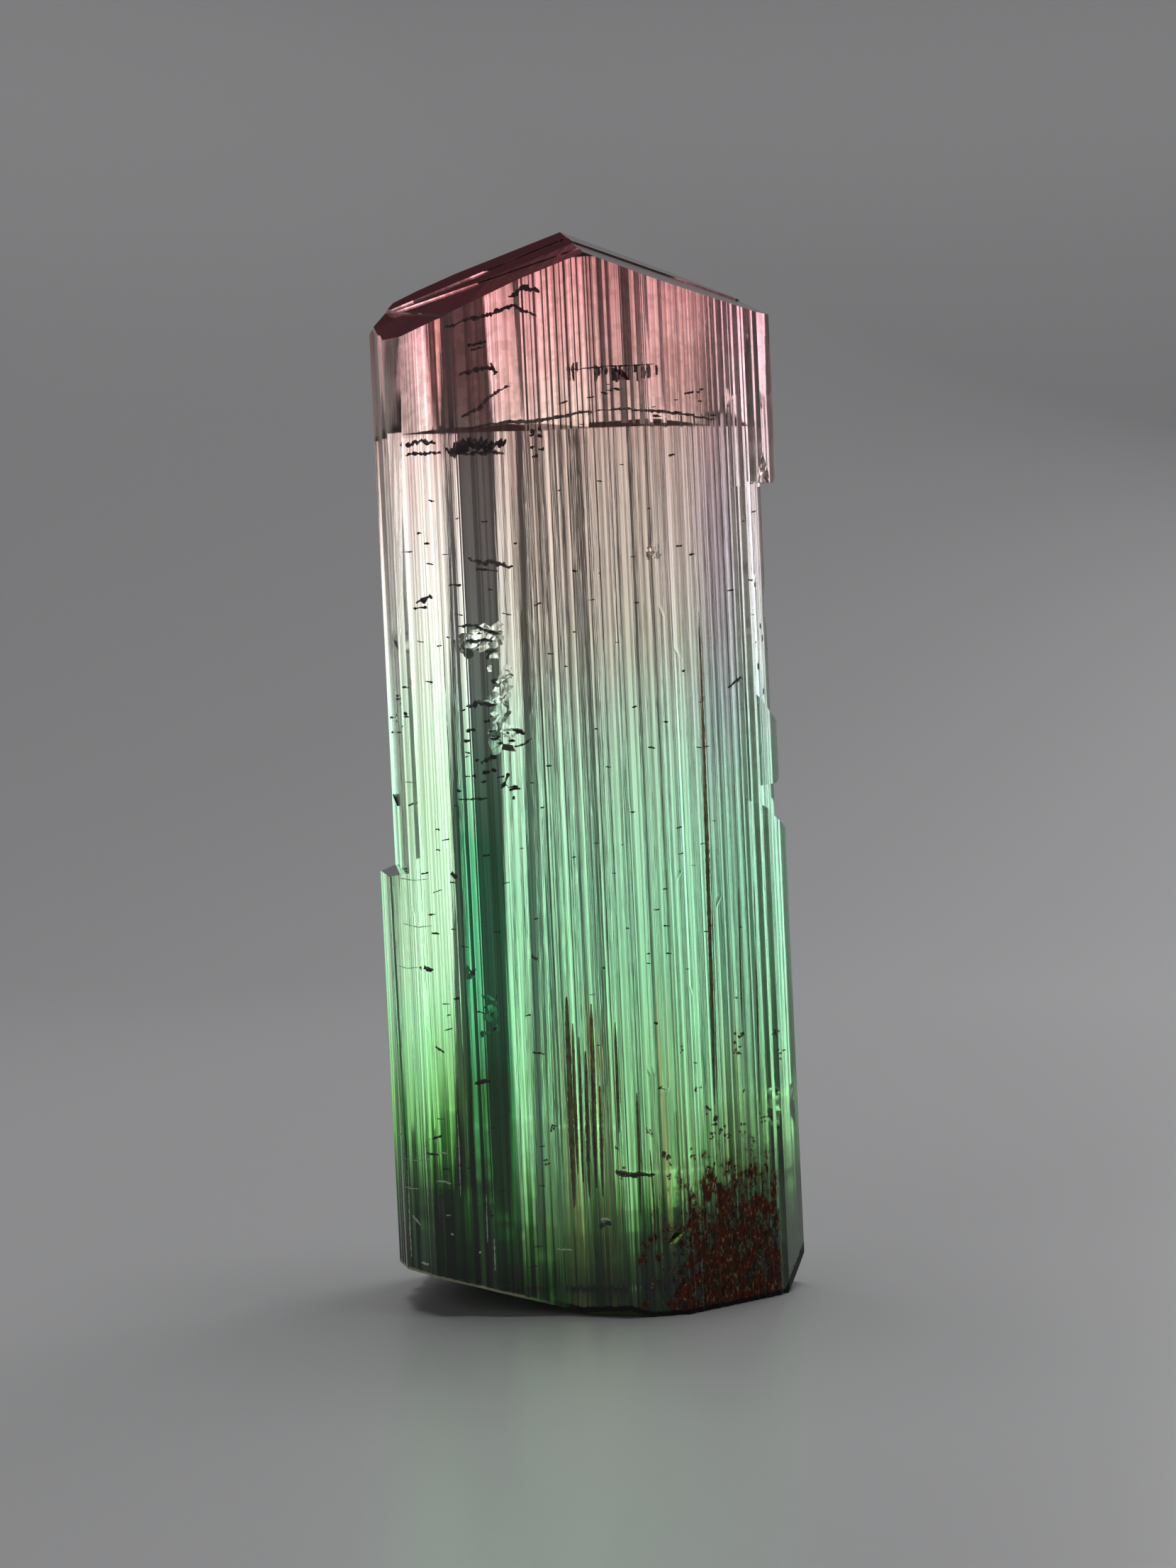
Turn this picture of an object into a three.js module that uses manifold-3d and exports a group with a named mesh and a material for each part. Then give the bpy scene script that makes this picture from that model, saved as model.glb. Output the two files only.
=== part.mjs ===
// A two-coloured tourmaline crystal: a rounded, striated prism with a three-faced pointed end, thin
// growth layers on its sides, chipped edges and a broken foot that it stands on.
// Millimetres and degrees. +Z is up, +X is right and +Y is away from the viewer of its best side.
// The origin is the middle of the bounding box, at the level of the foot.

import * as THREE from "three";
import { mergeVertices } from "three/addons/utils/BufferGeometryUtils.js";
import Module from "manifold-3d";

const wasm = await Module();
wasm.setup();

// Driving dimensions
const apexHeight = 52.0; // along the long axis, from the foot
const leanLeft = 2.7; // of the long axis, to -X
const leanFront = 2.3; // of the long axis, to -Y
const axisFoot = { x: 1.09, y: 0.66 }; // where the long axis meets the foot
const overlength = 4; // that the uncut prism runs past the foot and past the apex

// The growth directions of the prism's faces are 30 degrees apart, and this is one of them.
const growthAzimuth = 7;
const growthStep = 30;

// The sides of the prism in order round the axis: azimuth of the outward normal, distance from the
// axis, and the growth steps. A number means so many steps of uneven width, and a list gives the width
// of each as a share of the side.
const sides = [
  { azimuth: 267, distance: 7.54, steps: [0.06, 0.2, 0.07, 0.2, 0.22, 0.07, 0.1, 0.08] },
  { azimuth: 293, distance: 7.33, steps: 4 },
  { azimuth: 320, distance: 6.95, steps: 13 },
  { azimuth: 341, distance: 8.15, steps: 4 },
  { azimuth: 12, distance: 9.35, steps: 2 },
  { azimuth: 41, distance: 8.75, steps: 5 },
  { azimuth: 80, distance: 8.15, steps: 5 },
  { azimuth: 104, distance: 8.0, steps: 6 },
  { azimuth: 129, distance: 9.58, steps: 3 },
  { azimuth: 172, distance: 9.516, steps: 3 },
  { azimuth: 189, distance: 9.42, steps: 4 },
  { azimuth: 221, distance: 10.8, steps: 1 },
];

// The three faces of the pointed end, which meet at the apex.
const pointFaces = [
  { azimuth: 217, slope: 26.7 },
  { azimuth: 337, slope: 26.4 },
  { azimuth: 97, slope: 27.3 },
];
const apex = { x: -0.1, y: 0.35 }; // on the axis, seen along it

// Narrow faces and worn corners round the pointed end: azimuth, slope, and height and distance from the
// axis of a point on each.
const narrowFaces = [
  { azimuth: 186, slope: 52, height: 47.8, distance: 9.2 },
  { azimuth: 2, slope: 50, height: 48.9, distance: 9.3 },
  { azimuth: 217, slope: 88.2, height: 40, distance: 10.6 },
  { azimuth: 157, slope: 15.4, height: 51.93, distance: 0 },
  { azimuth: 37, slope: 15.2, height: 51.93, distance: 0 },
];

// Steep faces at the back of the pointed end, which stop at a ledge. Each cut takes what lies beyond all
// of its planes: azimuth, slope, and distance from the axis at the ledge.
const ledgeHeight = 42.5;
const backCuts = [
  [{ azimuth: 97, slope: 63.5, distance: 7.0 }],
  [{ azimuth: 117, slope: 66, distance: 8.3 }],
  [
    { azimuth: 97, slope: 63.5, distance: 6.47 },
    { azimuth: 117, slope: 66, distance: 7.3 },
  ],
];

// Growth layers on the sides: the thickness on each side that a layer covers, its ends, and the slant
// of its broken ends with the azimuth that they slope down towards. Elsewhere a layer lies inside the
// crystal.
const layers = [
  { on: { 189: 0.86, 172: 0.45 }, bottom: -overlength, top: 21.5, slant: 12, towards: 190 },
  { on: { 12: 0.75, 341: 0.2, 41: 0.5 }, bottom: -overlength, top: 22.7, slant: 30, towards: 20 },
  { on: { 12: 1.0, 341: 0.5, 41: 0.6 }, bottom: 39.4, top: apexHeight, slant: 24, towards: 30 },
  { on: { 12: 0.4, 341: 0.15 }, bottom: 24.6, top: 27.9, slant: 42, towards: 10 },
  { on: { 41: 0.5 }, bottom: -overlength, top: 8, slant: 40, towards: 52 },
];
const layerReach = 9.5; // distance from the axis at which a layer's ends have their stated height
const layerInset = 0.12; // of a layer's other sides below the crystal's surface

// Chips: height, azimuth and distance from the axis of the hollow's centre, then its radii round the
// prism, along it and into it.
const chips = [
  { height: 39.5, azimuth: 2, distance: 9.75, across: 1.1, along: 1.5, deep: 0.75 },
  { height: 37.9, azimuth: 352, distance: 9.3, across: 0.8, along: 1.1, deep: 0.6 },
  { height: 36.2, azimuth: 4, distance: 9.55, across: 0.9, along: 0.9, deep: 0.5 },
  { height: 33.4, azimuth: 8, distance: 9.6, across: 0.9, along: 1.6, deep: 0.42 },
  { height: 27.2, azimuth: 3, distance: 9.95, across: 0.8, along: 0.9, deep: 0.5 },
  { height: 25.2, azimuth: 0, distance: 9.9, across: 0.7, along: 0.6, deep: 0.45 },
  { height: 6.9, azimuth: 250, distance: 8.15, across: 0.8, along: 0.5, deep: 0.55 },
  { height: 32.4, azimuth: 127, distance: 9.0, across: 0.9, along: 0.9, deep: 0.8 },
  { height: 29.0, azimuth: 124, distance: 8.8, across: 0.5, along: 1.7, deep: 0.7 },
  { height: 44.6, azimuth: 57, distance: 9.35, across: 1.3, along: 1.7, deep: 0.8 },
  { height: 8.2, azimuth: 44, distance: 9.6, across: 1.1, along: 1.3, deep: 0.8 },
];

// The broken foot. Each cut takes away what lies below a plane through a point, which rises from the
// point towards an azimuth. The rest of the foot is flat.
const footCuts = [
  { x: 3.3, y: -6.53, rises: 262, slope: 30 },
  { x: 0.4, y: -5.93, rises: 205, slope: 14.4 },
  { x: -7.6, y: -4.53, rises: 218, slope: 52 },
  { x: 9.4, y: -2.53, rises: 352, slope: 70 },
  { x: 7.9, y: 4.97, rises: 40, slope: 24 },
  { x: -5.0, y: 6.07, rises: 128, slope: 16 },
];

const degrees = Math.PI / 180;
const mergeWithin = 1e-4;
const chipDetail = 2;
const chipTurn = 40; // that chips are tilted by at most, from side to side
const cutBox = 60; // edge of the boxes that cut planes are made from

// The same uneven numbers each time, between 0 and 1.
function unevenNumbers(seed) {
  let state = seed;
  return () => {
    state = (state * 16807) % 2147483647;
    return state / 2147483647;
  };
}

// A unit vector on the plan, at an azimuth.
function bearing(azimuth) {
  return new THREE.Vector2(Math.cos(azimuth * degrees), Math.sin(azimuth * degrees));
}

// The corner where two neighbouring sides meet.
function cornerOf(before, after) {
  const p = bearing(before.azimuth);
  const q = bearing(after.azimuth);
  const cross = p.x * q.y - p.y * q.x;
  const x = (before.distance * q.y - after.distance * p.y) / cross;
  const y = (after.distance * p.x - before.distance * q.x) / cross;
  return new THREE.Vector2(x, y);
}

// The shares of a side that its growth steps take.
function stepShares(steps, random) {
  if (Array.isArray(steps)) {
    return steps;
  }
  const widths = Array.from({ length: steps }, () => 0.35 + random());
  const total = widths.reduce((sum, width) => sum + width, 0);
  return widths.map((width) => width / total);
}

// One side as growth steps: each step is a short face in one growth direction and then one in the
// next, so that the side as a whole runs between the two.
function steppedSide(side, from, to, random) {
  const turns = Math.floor((side.azimuth - growthAzimuth) / growthStep);
  const first = bearing(growthAzimuth + turns * growthStep + 90);
  const second = bearing(growthAzimuth + (turns + 1) * growthStep + 90);
  const whole = to.clone().sub(from);
  const cross = first.x * second.y - first.y * second.x;
  const alongFirst = (whole.x * second.y - whole.y * second.x) / cross;
  const alongSecond = (first.x * whole.y - first.y * whole.x) / cross;
  const points = [];
  const at = from.clone();
  for (const share of stepShares(side.steps, random)) {
    points.push(at.clone());
    at.addScaledVector(second, alongSecond * share);
    points.push(at.clone());
    at.addScaledVector(first, alongFirst * share);
  }
  return points;
}

// The outline of the prism across its axis.
function outline(sideList, seed) {
  const random = unevenNumbers(seed);
  const count = sideList.length;
  const corners = sideList.map((side, i) => cornerOf(sideList[(i + count - 1) % count], side));
  return sideList.flatMap((side, i) => steppedSide(side, corners[i], corners[(i + 1) % count], random));
}

// A closed mesh as a solid that can be joined and cut.
function solidOf(geometry) {
  const bare = geometry.clone();
  bare.deleteAttribute("normal");
  bare.deleteAttribute("uv");
  const merged = mergeVertices(bare, mergeWithin);
  return new wasm.Manifold(
    new wasm.Mesh({
      numProp: 3,
      vertProperties: new Float32Array(merged.getAttribute("position").array),
      triVerts: new Uint32Array(merged.getIndex().array),
    }),
  );
}

// A solid as a mesh's geometry.
function geometryOf(solid) {
  const mesh = solid.getMesh();
  const geometry = new THREE.BufferGeometry();
  geometry.setAttribute("position", new THREE.BufferAttribute(mesh.vertProperties, 3));
  geometry.setIndex(new THREE.BufferAttribute(mesh.triVerts, 1));
  const flat = geometry.toNonIndexed();
  flat.computeVertexNormals();
  return flat;
}

// A prism with the given outline, between two heights on the axis.
function prism(points, bottom, top) {
  const shape = new THREE.Shape(points);
  const geometry = new THREE.ExtrudeGeometry(shape, { depth: top - bottom, bevelEnabled: false });
  geometry.translate(0, 0, bottom);
  return solidOf(geometry);
}

// All that lies beyond a plane: the plane goes through a point, and its normal points out.
function beyond(point, normal) {
  const geometry = new THREE.BoxGeometry(cutBox, cutBox, cutBox);
  geometry.translate(0, 0, cutBox / 2);
  const turn = new THREE.Quaternion().setFromUnitVectors(new THREE.Vector3(0, 0, 1), normal);
  geometry.applyQuaternion(turn);
  geometry.translate(point.x, point.y, point.z);
  return solidOf(geometry);
}

// The normal of a face that slopes down towards an azimuth.
function slopingNormal(azimuth, slope) {
  const flat = bearing(azimuth).multiplyScalar(Math.sin(slope * degrees));
  return new THREE.Vector3(flat.x, flat.y, Math.cos(slope * degrees));
}

// A growth layer: the prism with some sides moved out, and its free end broken off on a slant.
function growthLayer(layer, seed) {
  const moved = sides.map((side) => ({
    ...side,
    distance: side.distance + (layer.on[side.azimuth] ?? -layerInset),
  }));
  const slab = prism(outline(moved, seed), layer.bottom, layer.top + overlength);
  const edge = bearing(layer.towards).multiplyScalar(layerReach);
  const top = new THREE.Vector3(edge.x, edge.y, layer.top);
  const cutTop = slab.subtract(beyond(top, slopingNormal(layer.towards, layer.slant)));
  if (layer.bottom < 0) {
    return cutTop;
  }
  const bottom = new THREE.Vector3(edge.x, edge.y, layer.bottom);
  const under = slopingNormal(layer.towards, layer.slant);
  under.z = -under.z;
  return cutTop.subtract(beyond(bottom, under));
}

// A shell-shaped hollow where a flake has come off.
function chip({ height, azimuth, distance, across, along, deep }, seed) {
  const random = unevenNumbers(seed);
  const geometry = new THREE.IcosahedronGeometry(1, chipDetail);
  geometry.rotateX(random() * Math.PI);
  geometry.rotateZ(random() * Math.PI);
  geometry.scale(deep, across, along);
  geometry.rotateX((random() - 0.5) * chipTurn * degrees);
  geometry.rotateZ(azimuth * degrees);
  const place = bearing(azimuth).multiplyScalar(distance);
  geometry.translate(place.x, place.y, height);
  return solidOf(geometry);
}

// All that a cut at the back of the pointed end takes away.
function backCut(planes) {
  let cut = beyond(new THREE.Vector3(0, 0, ledgeHeight), new THREE.Vector3(0, 0, 1));
  for (const plane of planes) {
    const place = bearing(plane.azimuth).multiplyScalar(plane.distance);
    const point = new THREE.Vector3(place.x, place.y, ledgeHeight);
    cut = cut.intersect(beyond(point, slopingNormal(plane.azimuth, plane.slope)));
  }
  return cut;
}

// The crystal upright on its own axis, before its foot is cut.
function uprightCrystal() {
  let body = prism(outline(sides, 11), -overlength, apexHeight + overlength);
  layers.forEach((layer, i) => {
    body = body.add(growthLayer(layer, 20 + i));
  });
  const top = new THREE.Vector3(apex.x, apex.y, apexHeight);
  for (const face of pointFaces) {
    body = body.subtract(beyond(top, slopingNormal(face.azimuth, face.slope)));
  }
  for (const face of narrowFaces) {
    const place = bearing(face.azimuth).multiplyScalar(face.distance);
    const point = new THREE.Vector3(place.x, place.y, face.height);
    body = body.subtract(beyond(point, slopingNormal(face.azimuth, face.slope)));
  }
  for (const planes of backCuts) {
    body = body.subtract(backCut(planes));
  }
  chips.forEach((hollow, i) => {
    body = body.subtract(chip(hollow, 40 + i));
  });
  return body;
}

// The lean of the long axis, and its place on the foot.
function leaned(solid) {
  const geometry = geometryOf(solid);
  geometry.rotateY(-leanLeft * degrees);
  geometry.rotateX(leanFront * degrees);
  geometry.translate(axisFoot.x, axisFoot.y, 0);
  return solidOf(geometry);
}

// The foot: flat at height 0, with the breaks that rise from it at its edges.
function onItsFoot(solid) {
  let body = solid.subtract(beyond(new THREE.Vector3(0, 0, 0), new THREE.Vector3(0, 0, -1)));
  for (const cut of footCuts) {
    const under = slopingNormal(cut.rises, cut.slope);
    under.z = -under.z;
    body = body.subtract(beyond(new THREE.Vector3(cut.x, cut.y, 0), under));
  }
  return body;
}

const tourmaline = new THREE.MeshStandardMaterial({ color: 0x7fb99a, roughness: 0.18, metalness: 0 });

const part = new THREE.Group();
const crystal = new THREE.Mesh(geometryOf(onItsFoot(leaned(uprightCrystal()))), tourmaline);
crystal.name = "crystal";
part.add(crystal);

export default part;
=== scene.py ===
# Looks of a two-coloured tourmaline crystal: rose pink at its point, pale in the middle and green at
# its foot. It is a clear striated prism, with growth layers, chips, inner cracks and rust stain.
# The shape is worked out in millimetres and turned to metres at the end of each piece.
# +X is the viewer's right and +Y is away from the viewer, as in the frame.

import math
import random
from types import SimpleNamespace

import bmesh
import bpy
from mathutils import Matrix, Vector, noise
from mathutils.bvhtree import BVHTree

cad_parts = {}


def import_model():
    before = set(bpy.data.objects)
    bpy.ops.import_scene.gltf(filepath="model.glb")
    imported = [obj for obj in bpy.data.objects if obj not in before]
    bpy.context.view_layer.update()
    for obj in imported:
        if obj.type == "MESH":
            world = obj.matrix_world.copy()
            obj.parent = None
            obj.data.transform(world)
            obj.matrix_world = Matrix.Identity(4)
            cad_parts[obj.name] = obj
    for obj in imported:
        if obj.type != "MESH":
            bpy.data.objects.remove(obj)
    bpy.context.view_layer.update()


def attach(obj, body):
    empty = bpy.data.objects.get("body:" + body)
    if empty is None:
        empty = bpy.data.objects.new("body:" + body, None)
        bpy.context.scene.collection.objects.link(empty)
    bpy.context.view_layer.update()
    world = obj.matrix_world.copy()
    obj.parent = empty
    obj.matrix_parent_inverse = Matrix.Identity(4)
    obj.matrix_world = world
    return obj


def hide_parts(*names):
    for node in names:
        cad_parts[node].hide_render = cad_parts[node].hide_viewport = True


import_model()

MM = 0.001

# The photograph's frame and the place and lens of its camera, worked out from the crystal.
PHOTO_WIDTH = 1659
PHOTO_HEIGHT = 2212
FOCAL_PIXELS = 4339
CAMERA_PLACE = (-0.05, -150.83, 25.0)
SENSOR_LONG_SIDE = 36.0

# The shape of the prism, with the named values of the solid.
APEX_HEIGHT = 52.0
LEAN_LEFT = 2.7
LEAN_FRONT = 2.3
AXIS_FOOT = (1.09, 0.66)
OVERLENGTH = 4.0
GROWTH_AZIMUTH = 7
GROWTH_STEP = 30
RING_PITCH = 0.5
PRISM_SEED = 11
LAYER_SEED = 20
CHIP_SEED = 40

# Growth steps of uneven widths: the narrowest, how much wider the widest is, how rare the wide ones are,
# the share that stop, the width that a stopped one keeps, and its first face's width over its second's.
NARROWEST_STEP = 0.25
STEP_SPREAD = 2.2
STEP_RARITY = 2.2
STOPPING_SHARE = 0.45
STOPPED_WIDTH = 0.08
FIRST_TO_SECOND = (0.7, 1.4)

# The sides in order round the axis: azimuth of the outward normal and distance from the axis. Each
# side is made of growth steps, with a wide face and a narrow one in each. A number of steps means
# uneven ones that start and stop along the crystal. Lists give the widths across the front, in
# millimetres, of the steps that show as clear windows and dark lines. Splay is how much
# further out a side lies for each millimetre down from the middle of the crystal.
SIDES = [
    {
        "azimuth": 267,
        "distance": 7.54,
        "second": [0.2, 1.5, 0.3, 0.17, 0.07, 3.3, 0.1, 0.05, 0.12, 0.06, 0.1, 0.08, 0.05, 0.12, 0.06, 0.08],
        "first": [0.1, 0.05, 0.33, 0.3, 0.05, 0.1, 0.3, 0.15, 0.35, 0.2, 0.3, 0.22, 0.15, 0.3, 0.2, 0.23],
    },
    {"azimuth": 293, "distance": 7.33, "steps": 16},
    {"azimuth": 320, "distance": 6.95, "steps": 27},
    {"azimuth": 341, "distance": 8.15, "steps": 11},
    {"azimuth": 12, "distance": 9.35, "steps": 5},
    {"azimuth": 41, "distance": 8.75, "steps": 14},
    {
        "azimuth": 80,
        "distance": 8.15,
        "second": [0.2, 0.3, 0.15, 0.45, 0.15, 0.3, 0.1, 0.35, 0.2, 0.4, 0.15, 0.3],
        "first": [0.35, 0.3, 0.4, 0.3, 0.25, 0.5, 0.3, 0.35, 0.3, 0.25, 0.4, 0.3],
    },
    {
        "azimuth": 104,
        "distance": 8.0,
        "second": [0.12, 0.05, 0.08, 0.16, 0.05, 0.1, 0.06, 0.1, 0.05, 0.17, 0.35, 0.3],
        "first": [0.3, 0.5, 0.35, 0.2, 0.6, 0.3, 0.55, 0.25, 0.55, 0.1, 0.15, 2.9],
    },
    {"azimuth": 129, "distance": 9.58, "steps": 4, "splay": 0.016},
    {"azimuth": 172, "distance": 9.516, "steps": 6},
    {"azimuth": 189, "distance": 9.42, "steps": 6},
    {"azimuth": 221, "distance": 10.8, "steps": 3},
]

# The three faces of the pointed end: azimuth and slope.
POINT_FACES = [
    (217, 26.7),
    (337, 26.4),
    (97, 27.3),
]
APEX = (-0.1, 0.35, APEX_HEIGHT)

# Narrow faces and worn corners round the pointed end: azimuth, slope, and height and distance from the
# axis of a point on each.
WORN_CORNERS = [
    (186, 52, 47.8, 9.2),
    (2, 50, 48.9, 9.3),
    (217, 88.2, 40, 10.6),
    (157, 15.4, 51.93, 0),
    (37, 15.2, 51.93, 0),
]

# Steep faces at the back of the pointed end, which stop at a ledge. Each cut takes what lies beyond all
# of its planes: azimuth, slope, and distance from the axis at the ledge.
LEDGE_HEIGHT = 42.5
BACK_CUTS = [
    [(97, 63.5, 7.0)],
    [(117, 66, 8.3)],
    [(97, 63.5, 6.47), (117, 66, 7.3)],
]

# Low growth steps on the pointed end: azimuth and slope of the face that each is on, the azimuth that it
# steps down towards, how far its edge is from the apex, and its height.
TERRACES = [
    (217, 26.7, 258, 2.6, 0.07),
    (217, 26.7, 240, 5.6, 0.14),
    (217, 26.7, 200, 8.7, 0.21),
    (337, 26.4, 310, 3.4, 0.06),
    (97, 27.3, 70, 1.6, 0.08),
]

# Growth layers: how far some sides are moved out, by azimuth, the heights that the layer runs between,
# the slant of its free ends and the azimuth that they slope towards.
LAYERS = [
    {"on": {189: 0.86, 172: 0.45}, "bottom": -4, "top": 21.5, "slant": 12, "towards": 190},
    {"on": {12: 0.75, 341: 0.2, 41: 0.5}, "bottom": -4, "top": 22.7, "slant": 30, "towards": 20},
    {"on": {12: 1.0, 341: 0.5, 41: 0.6}, "bottom": 39.4, "top": 52, "slant": 24, "towards": 30},
    {"on": {12: 0.4, 341: 0.15}, "bottom": 24.6, "top": 27.9, "slant": 42, "towards": 10},
    {"on": {41: 0.5}, "bottom": -4, "top": 8, "slant": 40, "towards": 52},
]
LAYER_INSET = 0.12
LAYER_REACH = 9.5
CHIP_RIPPLE = 0.16
CHIP_RIPPLE_GRAIN = 2.2

# Chips broken off the edges: height, azimuth, distance from the axis, and size across, along and into
# the crystal.
CHIPS = [
    (39.5, 2, 9.75, 1.1, 1.5, 0.75),
    (37.9, 352, 9.3, 0.8, 1.1, 0.6),
    (36.2, 4, 9.55, 0.9, 0.9, 0.5),
    (33.4, 8, 9.6, 0.9, 1.6, 0.42),
    (27.2, 3, 9.95, 0.8, 0.9, 0.5),
    (25.2, 0, 9.9, 0.7, 0.6, 0.45),
    (6.9, 250, 8.15, 0.8, 0.5, 0.55),
    (32.4, 127, 9.0, 0.9, 0.9, 0.8),
    (29.0, 124, 8.8, 0.5, 1.7, 0.7),
    (44.6, 57, 9.35, 1.3, 1.7, 0.8),
    (8.2, 44, 9.6, 1.1, 1.3, 0.8),
]

# Breaks round the foot: x and y where each plane crosses the level of the foot, the azimuth that it
# rises towards, and its slope.
FOOT_CUTS = [
    (3.3, -6.53, 262, 30),
    (0.4, -5.93, 205, 14.4),
    (-7.6, -4.53, 218, 52),
    (9.4, -2.53, 352, 70),
    (7.9, 4.97, 40, 24),
    (-5.0, 6.07, 128, 16),
]
CUT_BOX = 60.0

# The lean of the crystal's long axis and its place on the foot.
LEANED = (
    Matrix.Translation((AXIS_FOOT[0], AXIS_FOOT[1], 0))
    @ Matrix.Rotation(math.radians(LEAN_FRONT), 4, "X")
    @ Matrix.Rotation(math.radians(-LEAN_LEFT), 4, "Y")
)


def bearing(azimuth):
    """A unit vector on the plan, at an azimuth."""
    turn = math.radians(azimuth)
    return Vector((math.cos(turn), math.sin(turn)))


def spot_at(azimuth, distance, height):
    """A point at an azimuth, a distance from the axis and a height."""
    flat = bearing(azimuth) * distance
    return Vector((flat.x, flat.y, height))


def sloping_normal(azimuth, slope):
    """The normal of a face that slopes down towards an azimuth."""
    return spot_at(azimuth, math.sin(math.radians(slope)), math.cos(math.radians(slope)))


def undercut_normal(azimuth, slope):
    """The normal of a face under the crystal that rises towards an azimuth."""
    normal = sloping_normal(azimuth, slope)
    return Vector((normal.x, normal.y, -normal.z))


def corner_of(before, after, height):
    """The corner where two neighbouring sides meet, at a height."""
    p = bearing(before["azimuth"])
    q = bearing(after["azimuth"])
    down = APEX_HEIGHT / 2 - height
    first = before["distance"] + before.get("splay", 0) * down
    second = after["distance"] + after.get("splay", 0) * down
    cross = p.x * q.y - p.y * q.x
    x = (first * q.y - second * p.y) / cross
    y = (second * p.x - first * q.x) / cross
    return Vector((x, y))


def uneven_steps(count, chance):
    """Growth steps of uneven widths. Some stop at a height, above or below which the next is wider."""
    steps = []
    for _ in range(count):
        width = NARROWEST_STEP + chance.random() ** STEP_RARITY * STEP_SPREAD
        stop = chance.uniform(0, APEX_HEIGHT) if chance.random() < STOPPING_SHARE else None
        upward = chance.random() < 0.5
        first = width * chance.uniform(*FIRST_TO_SECOND)
        steps.append({"second": width, "first": first, "stop": stop, "upward": upward})
    return steps


def given_steps(side):
    """Growth steps whose widths are stated, and which run the whole length."""
    return [{"second": s, "first": f, "stop": None} for s, f in zip(side["second"], side["first"])]


def widths_at(steps, height):
    """Each step's share of both growth directions at a height."""
    kept = STOPPED_WIDTH
    shares = []
    spare = [0.0, 0.0]
    for step in steps:
        both = [step["second"], step["first"]]
        stopped = step["stop"] is not None and (height > step["stop"]) == step["upward"]
        if stopped:
            shares.append([both[0] * kept, both[1] * kept])
            spare = [spare[0] + both[0] * (1 - kept), spare[1] + both[1] * (1 - kept)]
        else:
            shares.append([both[0] + spare[0], both[1] + spare[1]])
            spare = [0.0, 0.0]
    shares[-1] = [shares[-1][0] + spare[0], shares[-1][1] + spare[1]]
    totals = [sum(share[0] for share in shares), sum(share[1] for share in shares)]
    return [(share[0] / totals[0], share[1] / totals[1]) for share in shares]


def stepped_side(side, start, end, shares):
    """One side as growth steps: a short face in one growth direction, then one in the other."""
    turns = (side["azimuth"] - GROWTH_AZIMUTH) // GROWTH_STEP
    first = bearing(GROWTH_AZIMUTH + turns * GROWTH_STEP + 90)
    second = bearing(GROWTH_AZIMUTH + (turns + 1) * GROWTH_STEP + 90)
    whole = end - start
    cross = first.x * second.y - first.y * second.x
    along_first = (whole.x * second.y - whole.y * second.x) / cross
    along_second = (first.x * whole.y - first.y * whole.x) / cross
    points = []
    at = start.copy()
    for second_share, first_share in shares:
        points.append(at.copy())
        at += second * (along_second * second_share)
        points.append(at.copy())
        at += first * (along_first * first_share)
    return points


def prism(distances, seed, heights):
    """A striated prism with a ring of corners at each of some heights, as a bmesh."""
    chance = random.Random(seed)
    sides = [{**side, "distance": distances[side["azimuth"]]} for side in SIDES]
    steps = [given_steps(s) if "second" in s else uneven_steps(s["steps"], chance) for s in sides]
    made = bmesh.new()
    rings = []
    for height in heights:
        corners = [corner_of(sides[i - 1], side, height) for i, side in enumerate(sides)]
        ring = []
        for i, side in enumerate(sides):
            end = corners[(i + 1) % len(sides)]
            ring += stepped_side(side, corners[i], end, widths_at(steps[i], height))
        rings.append([made.verts.new((point.x, point.y, height)) for point in ring])
    skin(made, rings)
    bmesh.ops.triangulate(made, faces=made.faces)
    return made


def skin(made, rings):
    """Faces between rings of corners, from the first to the last, and a face across each end."""
    for below, above in zip(rings, rings[1:]):
        for i in range(len(below)):
            j = (i + 1) % len(below)
            made.faces.new((below[i], below[j], above[j], above[i]))
    made.faces.new(list(reversed(rings[0])))
    made.faces.new(rings[-1])


def object_of(made, name):
    """An object of a bmesh, in the scene."""
    mesh = bpy.data.meshes.new(name)
    made.to_mesh(mesh)
    made.free()
    obj = bpy.data.objects.new(name, mesh)
    bpy.context.scene.collection.objects.link(obj)
    return obj


def cut_box(place):
    """A large box that is used to cut, round the origin of a placing."""
    made = bmesh.new()
    bmesh.ops.create_cube(made, size=CUT_BOX)
    bmesh.ops.transform(made, matrix=place, verts=made.verts)
    return object_of(made, "cut")


def tilt_to(normal):
    """The turn that points upright things along a normal."""
    return Vector((0, 0, 1)).rotation_difference(normal).to_matrix().to_4x4()


def beyond(point, normal):
    """A large box that holds all that lies beyond a plane."""
    return cut_box(Matrix.Translation(point) @ tilt_to(normal) @ Matrix.Translation((0, 0, CUT_BOX / 2)))


def past_face(azimuth, slope, distance, height):
    """All that lies beyond a sloping face through a point at a distance from the axis and a height."""
    return beyond(spot_at(azimuth, distance, height), sloping_normal(azimuth, slope))


def shaped(obj, tools):
    """The object after joins and cuts by other objects, which are used up."""
    for tool, operation in tools:
        modifier = obj.modifiers.new(operation, "BOOLEAN")
        modifier.object = tool
        modifier.operation = operation
        modifier.solver = "MANIFOLD"
    graph = bpy.context.evaluated_depsgraph_get()
    result = bpy.data.meshes.new_from_object(obj.evaluated_get(graph))
    obj.modifiers.clear()
    obj.data = result
    for tool, _ in tools:
        bpy.data.objects.remove(tool)
    return obj


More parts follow.
